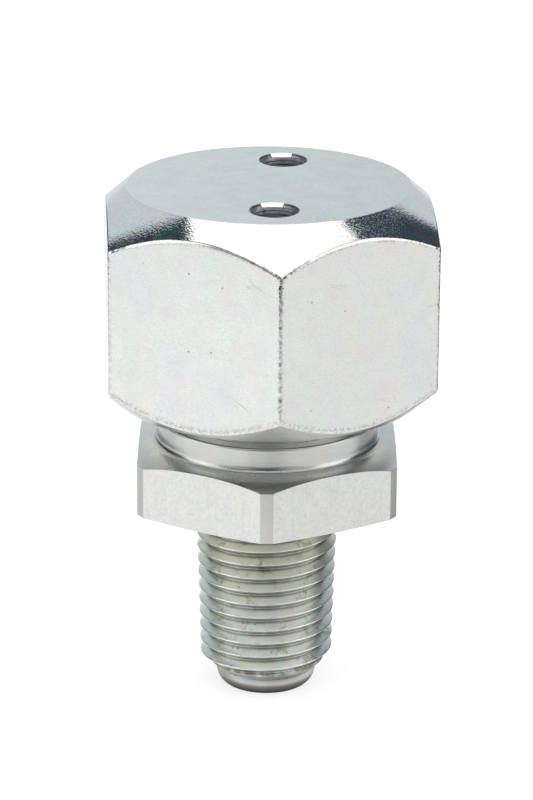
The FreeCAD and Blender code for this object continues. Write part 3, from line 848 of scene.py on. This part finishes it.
# heights are degrees up; the overhead box is measured on a ceiling at a height of 1
room = {
    "rearSides": ((157.7, -0.88), (158.25, -0.75)), "rearSoft": (-0.6, 0.6),
    "boxTurn": (50.0, 94.0, 4.0), "boxTop": (44.0, 48.0), "box": (1.30, 1.30, 1.28),
    "overLeft": 0.525, "overLeftSlope": 0.58, "overRight": 0.75, "overBackLeft": 0.22, "overBackSlope": 0.236,
    "overBump": 0.12, "overBumpEnd": (0.42, 0.5), "overFront": (-1.2, -1.1), "overLow": (0.3, 0.4),
    "overSoft": (-0.015, 0.015),
    "frontTurn": (14.0, 18.0), "frontEnd": (50.0, 54.0), "frontShift": 22.0, "frontShiftUp": (22.0, 34.0),
    "frontTop": (50.0, 60.0), "frontSides": (0.7, 1.0), "front": (0.52, 0.53, 0.51),
    "dimLeft": (-0.45, -0.2), "dimLeftShare": 0.17, "dimRight": (-0.08, 0.08), "dimRightShare": 0.18,
    "darkGrain": 46.0, "darkSpread": 4.4, "darkBase": -1.2,
}


class Bearing:
    # how far round from the camera's side, and 0 on the left or 1 on the right
    def __init__(self, wire, x, y):
        turn = wire.sum("ARCTAN2", x, y * -1) * (180 / math.pi)
        self.spread = turn.size()
        self.right = turn.rise(-2.0, 2.0)

    def sides(self, left, right):
        return self.right * (right - left) + left


def stepped(reach, start, steps):
    level = start
    for low, high, change in steps:
        level = reach.rise(low, high) * change + level
    return level


def tableSeen(wire, x, y):
    # what the metal sees below: a white table with a painted shadow under the part, darker towards the camera
    # and at two flags
    at = Bearing(wire, x, y)
    reach = (x * x + y * y) ** 0.5
    front = (1 - at.spread.rise(*table["frontTurn"])) * stepped(reach, 0.0, table["frontSteps"])
    corners = (1 - at.spread.rise(*table["cornerTurn"])) * reach.rise(*table["cornerReach"])
    past = (at.spread - at.sides(*table["flagEndSides"])).rise(0.0, table["flagSoft"])
    flags = at.spread.rise(*table["flagTurn"]) * (1 - past) * reach.rise(*table["flagReach"])
    flags = flags * at.sides(*table["flagSides"])
    flags = flags * (1 - at.right * reach.within(*table["gapReach"]) * table["gapShare"])
    beside = at.spread.rise(*table["besideTurn"]) * (1 - reach.rise(*table["besideReach"]))
    beside = beside * at.sides(*table["besideSides"])
    darker = front.atLeast(corners * table["cornerShare"]).atLeast(flags.atLeast(beside))
    seen = reach.rise(*table["underReach"]) * (1 - darker)
    # the table is lighter to the left, near the part, and straight behind it
    level = at.sides(stepped(reach, table["leftLevel"], table["leftSteps"]), table["rightLevel"])
    level = level + at.spread.rise(*table["behindTurn"]) * table["behindLift"]
    tone = wire.node("ShaderNodeCombineXYZ", None, {0: level, 1: level, 2: level})
    tone = wire.blend(y.rise(*table["paleReach"]), tone, studio["pale"])
    # the part's painted shadow, darkest close under it
    shadow = wire.blend(reach.rise(*table["contactShadowReach"]), table["contactShadow"], studio["dark"])
    return wire.blend(seen, shadow, tone)


def roomSeen(wire, way):
    # what the metal sees above: a pale room behind, dark beside it, a lit box on each side and one overhead
    x, y, z = (way.axis(letter) for letter in "XYZ")
    at = Bearing(wire, x, y)
    up = wire.sum("ARCSINE", z) * (180 / math.pi)
    rearFrom = at.sides(*(start + up * slope for start, slope in room["rearSides"]))
    rear = (at.spread - rearFrom).rise(*room["rearSoft"])
    boxes = at.spread.within(*room["boxTurn"]) * (1 - up.rise(*room["boxTop"]))
    # the overhead box
    tall = z.atLeast(0.05)
    back, out = y / tall, x.size() / tall
    wide = at.sides(back.atLeast(0.0) * room["overLeftSlope"] + room["overLeft"], room["overRight"])
    bump = (1 - out.rise(*room["overBumpEnd"])) * room["overBump"]
    deep = at.sides(room["overBackLeft"], out * room["overBackSlope"] + bump)
    over = (wide - out).rise(*room["overSoft"]) * (deep - back).rise(*room["overSoft"])
    over = over * back.rise(*room["overFront"]) * z.rise(*room["overLow"])
    # the grey front
    shift = up.rise(*room["frontShiftUp"]) * room["frontShift"]
    front = (at.spread - shift).rise(*room["frontTurn"]) * (1 - at.spread.rise(*room["frontEnd"]))
    front = front * (1 - up.rise(*room["frontTop"])) * at.sides(*room["frontSides"])
    # the pale room is dimmer at its left end and right of the middle, and the dark is mottled
    dimmer = (1 - x.rise(*room["dimLeft"])) * room["dimLeftShare"]
    dimmer = dimmer + x.rise(*room["dimRight"]) * room["dimRightShare"]
    hues = way.grain(room["darkGrain"], 3.0, out="Color")
    hues = hues.vector("MULTIPLY_ADD", grey(room["darkSpread"]), grey(room["darkBase"]))
    tone = wire.blend(dimmer, studio["pale"], studio["dark"])
    tone = wire.blend(rear, hues.vector("MULTIPLY", studio["dark"]), tone)
    tone = wire.blend(front, tone, room["front"])
    return wire.blend(boxes.atLeast(over), tone, room["box"])


def rayIs(wire, kind):
    return wire.node("ShaderNodeLightPath", out="Is " + kind + " Ray")


def buildFloor():
    bm = bmesh.new()
    bmesh.ops.create_grid(bm, x_segments=1, y_segments=1, size=studio["floorSize"] / 2)
    mesh = bpy.data.meshes.new("paleFloor")
    bm.to_mesh(mesh)
    bm.free()
    floor = bpy.data.objects.new("paleFloor", mesh)
    bpy.context.scene.collection.objects.link(floor)
    material, wire = newFinish("paleFloor")
    place = wire.node("ShaderNodeTexCoord", out="Object")
    tone = tableSeen(wire, place.axis("X") / mm, place.axis("Y") / mm)
    glossy = rayIs(wire, "Glossy")
    looked = (rayIs(wire, "Camera") + rayIs(wire, "Transmission")).atMost(1.0)
    shown = wire.blend(looked, grey(0.0), grey(studio["floorGlow"]))
    closeFinish(wire, {"Base Color": wire.blend(glossy, grey(studio["floorColour"]), grey(0.0)),
                       "Roughness": 1.0, "Specular IOR Level": 0.0,
                       "Emission Color": wire.blend(glossy, shown, tone), "Emission Strength": 1.0})
    material.cycles.emission_sampling = "NONE"
    mesh.materials.append(material)


def buildLamp():
    lamp = bpy.data.lights.new("overheadBox", "AREA")
    lamp.shape = "SQUARE"
    lamp.size = studio["lampSize"]
    lamp.energy = studio["lampLevel"] * math.pi * studio["lampSize"] ** 2
    holder = bpy.data.objects.new("overheadBox", lamp)
    holder.location = (*studio["lampAt"], studio["lampHeight"])
    holder.rotation_euler = (0, 0, math.radians(studio["lampTurn"]))
    holder.visible_glossy = False  # its mirror image is in the world, with sharper edges
    bpy.context.scene.collection.objects.link(holder)


def buildWorld():
    world = bpy.data.worlds.new("studioWorld")
    world.use_nodes = True
    world.node_tree.nodes.clear()
    bpy.context.scene.world = world
    wire = Wire(world.node_tree)
    tone = roomSeen(wire, wire.node("ShaderNodeTexCoord", out="Generated"))
    colour = wire.blend(rayIs(wire, "Glossy"), grey(studio["worldLevel"]), tone)
    colour = wire.blend(rayIs(wire, "Camera"), colour, grey(1.0))
    background = wire.node("ShaderNodeBackground", None, {"Color": colour, "Strength": 1.0})
    wire.node("ShaderNodeOutputWorld", None, {0: background})
    world.cycles.sampling_method = "NONE"


buildFloor()
buildLamp()
buildWorld()
bpy.context.scene.view_settings.view_transform = "Standard"
print("studio made")
